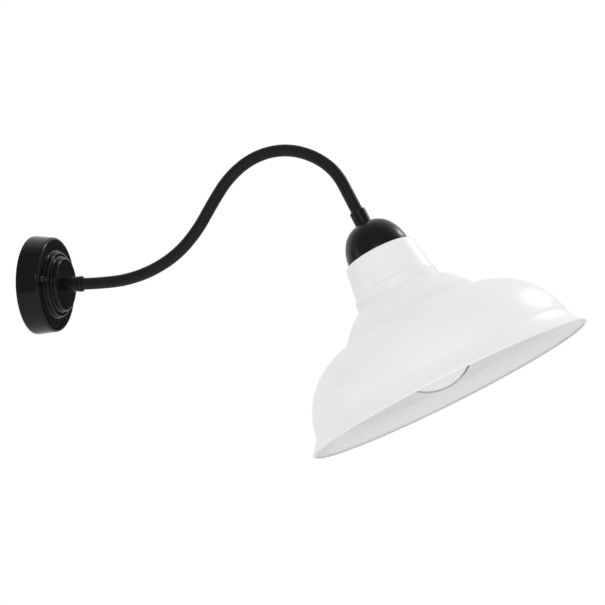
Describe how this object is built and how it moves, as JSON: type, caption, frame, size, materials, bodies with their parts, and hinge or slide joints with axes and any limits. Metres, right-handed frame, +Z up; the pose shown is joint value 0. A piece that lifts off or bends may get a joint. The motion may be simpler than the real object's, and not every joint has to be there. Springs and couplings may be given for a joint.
{
  "type": "gooseneck wall sconce",
  "caption": "Wall light with a stepped round wall plate, a bendable gooseneck, a domed socket cup and a wide bell shade round a globe bulb.",
  "frame": {"origin": "middle of the wall side of the mounting strap, on the wall plane, on the wall plate's axis", "axes": "+X out of the wall along the wall plate's axis, +Z up; the neck lies in the plane Y = 0"},
  "size_m": [0.5713, 0.2976, 0.3238],
  "materials": {
    "gloss_black": "gloss black paint",
    "satin_black": "satin black paint",
    "black_screw": "black",
    "black_sleeve": "smooth matt black",
    "wound_steel": "bare wound steel",
    "white_enamel": "gloss white paint",
    "zinc_plate": "bright zinc",
    "brass": "plain brass",
    "ivory_plastic": "ivory",
    "black_phenolic": "moulded black",
    "cable_sheath": "black",
    "brown_core": "brown",
    "blue_core": "blue",
    "green_core": "green and yellow",
    "opal_globe": "opal white",
    "nickel_cap": "nickel",
    "solder": "solder",
    "black_glass": "black"
  },
  "bodies": {
    "wall_mount": {"wall_plate": "gloss_black", "mounting_strap": "zinc_plate", "cover_screws": "black_screw", "earth_screw": "brass", "terminal_block": "ivory_plastic", "terminal_screws": "brass", "wall_nipple": "zinc_plate", "wall_washer": "zinc_plate", "wall_lock_nut": "zinc_plate", "wall_ferrule": "satin_black", "core_link_01": "wound_steel", "neck_sleeve": "black_sleeve", "flex_cable": "cable_sheath", "live_core": "brown_core", "neutral_core": "blue_core", "earth_core": "green_core"},
    "neck_02": {"core_link_02": "wound_steel"},
    "neck_03": {"core_link_03": "wound_steel"},
    "neck_04": {"core_link_04": "wound_steel"},
    "neck_05": {"core_link_05": "wound_steel"},
    "neck_06": {"core_link_06": "wound_steel"},
    "neck_07": {"core_link_07": "wound_steel"},
    "neck_08": {"core_link_08": "wound_steel"},
    "neck_09": {"core_link_09": "wound_steel"},
    "neck_10": {"core_link_10": "wound_steel"},
    "neck_11": {"core_link_11": "wound_steel"},
    "lamp_head": {"core_link_12": "wound_steel", "lamp_ferrule": "satin_black", "lamp_nipple": "zinc_plate", "lamp_washer": "zinc_plate", "lamp_lock_nut": "zinc_plate", "socket_cup": "satin_black", "shade": "white_enamel", "shade_ring": "black_phenolic", "holder_cap": "black_phenolic", "holder_skirt": "black_phenolic", "contact_insulator": "black_phenolic", "screw_shell": "brass", "centre_contact": "brass", "holder_terminals": "brass", "lamp_live_core": "brown_core", "lamp_neutral_core": "blue_core"},
    "bulb_travel": {"bulb_tip": "solder"},
    "bulb": {"bulb_globe": "opal_globe", "bulb_cap": "nickel_cap", "bulb_insulator": "black_glass"}
  },
  "joints": [
    {"name": "lower_bend", "type": "hinge", "parent": "wall_mount", "child": "neck_02", "pos_m": [0.08422, 0, 0.00111], "axis": [0, -1, 0], "range_deg": [-12, 12], "deforming": ["neck_sleeve", "flex_cable"]},
    {"name": "lower_bend_02", "type": "hinge", "parent": "neck_02", "child": "neck_03", "pos_m": [0.11535, 0, 0.00702], "axis": [0, -1, 0], "range_deg": [-12, 12]},
    {"name": "sway", "type": "hinge", "parent": "neck_03", "child": "neck_04", "pos_m": [0.1441, 0, 0.02027], "axis": [-0.5299, 0, 0.848], "range_deg": [-12, 12]},
    {"name": "lower_bend_04", "type": "hinge", "parent": "neck_04", "child": "neck_05", "pos_m": [0.16816, 0, 0.04082], "axis": [0, -1, 0], "range_deg": [-12, 12]},
    {"name": "lower_bend_05", "type": "hinge", "parent": "neck_05", "child": "neck_06", "pos_m": [0.18633, 0, 0.06678], "axis": [0, -1, 0], "range_deg": [-12, 12]},
    {"name": "sway_06", "type": "hinge", "parent": "neck_06", "child": "neck_07", "pos_m": [0.20268, 0, 0.09399], "axis": [-0.8387, 0, 0.5446], "range_deg": [-12, 12]},
    {"name": "upper_bend", "type": "hinge", "parent": "neck_07", "child": "neck_08", "pos_m": [0.22394, 0, 0.11739], "axis": [0, -1, 0], "range_deg": [-3, 24]},
    {"name": "upper_bend_08", "type": "hinge", "parent": "neck_08", "child": "neck_09", "pos_m": [0.25225, 0, 0.1312], "axis": [0, -1, 0], "range_deg": [-3, 24]},
    {"name": "sway_09", "type": "hinge", "parent": "neck_09", "child": "neck_10", "pos_m": [0.28372, 0, 0.13133], "axis": [0.225, 0, 0.9744], "range_deg": [-12, 12]},
    {"name": "upper_bend_10", "type": "hinge", "parent": "neck_10", "child": "neck_11", "pos_m": [0.31241, 0, 0.11825], "axis": [0, -1, 0], "range_deg": [-3, 24]},
    {"name": "upper_bend_11", "type": "hinge", "parent": "neck_11", "child": "lamp_head", "pos_m": [0.33284, 0, 0.09434], "axis": [0, -1, 0], "range_deg": [-3, 24]},
    {"name": "bulb_travel", "type": "slide", "parent": "lamp_head", "child": "bulb_travel", "axis": [0.4431, 0, -0.8965], "range_m": [0, 0.0218]},
    {"name": "bulb_turn", "type": "hinge", "parent": "bulb_travel", "child": "bulb", "pos_m": [0.41354, 0, -0.06852], "axis": [0.4431, 0, -0.8965], "range_deg": [0, 2160]}
  ],
  "couplings": [
    {"joint": "lower_bend_02", "follows": "lower_bend", "ratio": 1},
    {"joint": "lower_bend_04", "follows": "lower_bend", "ratio": 1},
    {"joint": "lower_bend_05", "follows": "lower_bend", "ratio": 1},
    {"joint": "sway_06", "follows": "sway", "ratio": 1},
    {"joint": "sway_09", "follows": "sway", "ratio": 1},
    {"joint": "upper_bend_08", "follows": "upper_bend", "ratio": 1},
    {"joint": "upper_bend_10", "follows": "upper_bend", "ratio": 1},
    {"joint": "upper_bend_11", "follows": "upper_bend", "ratio": 1},
    {"joint": "bulb_travel", "follows": "bulb_turn", "m_per_rad": 0.00057757}
  ]
}
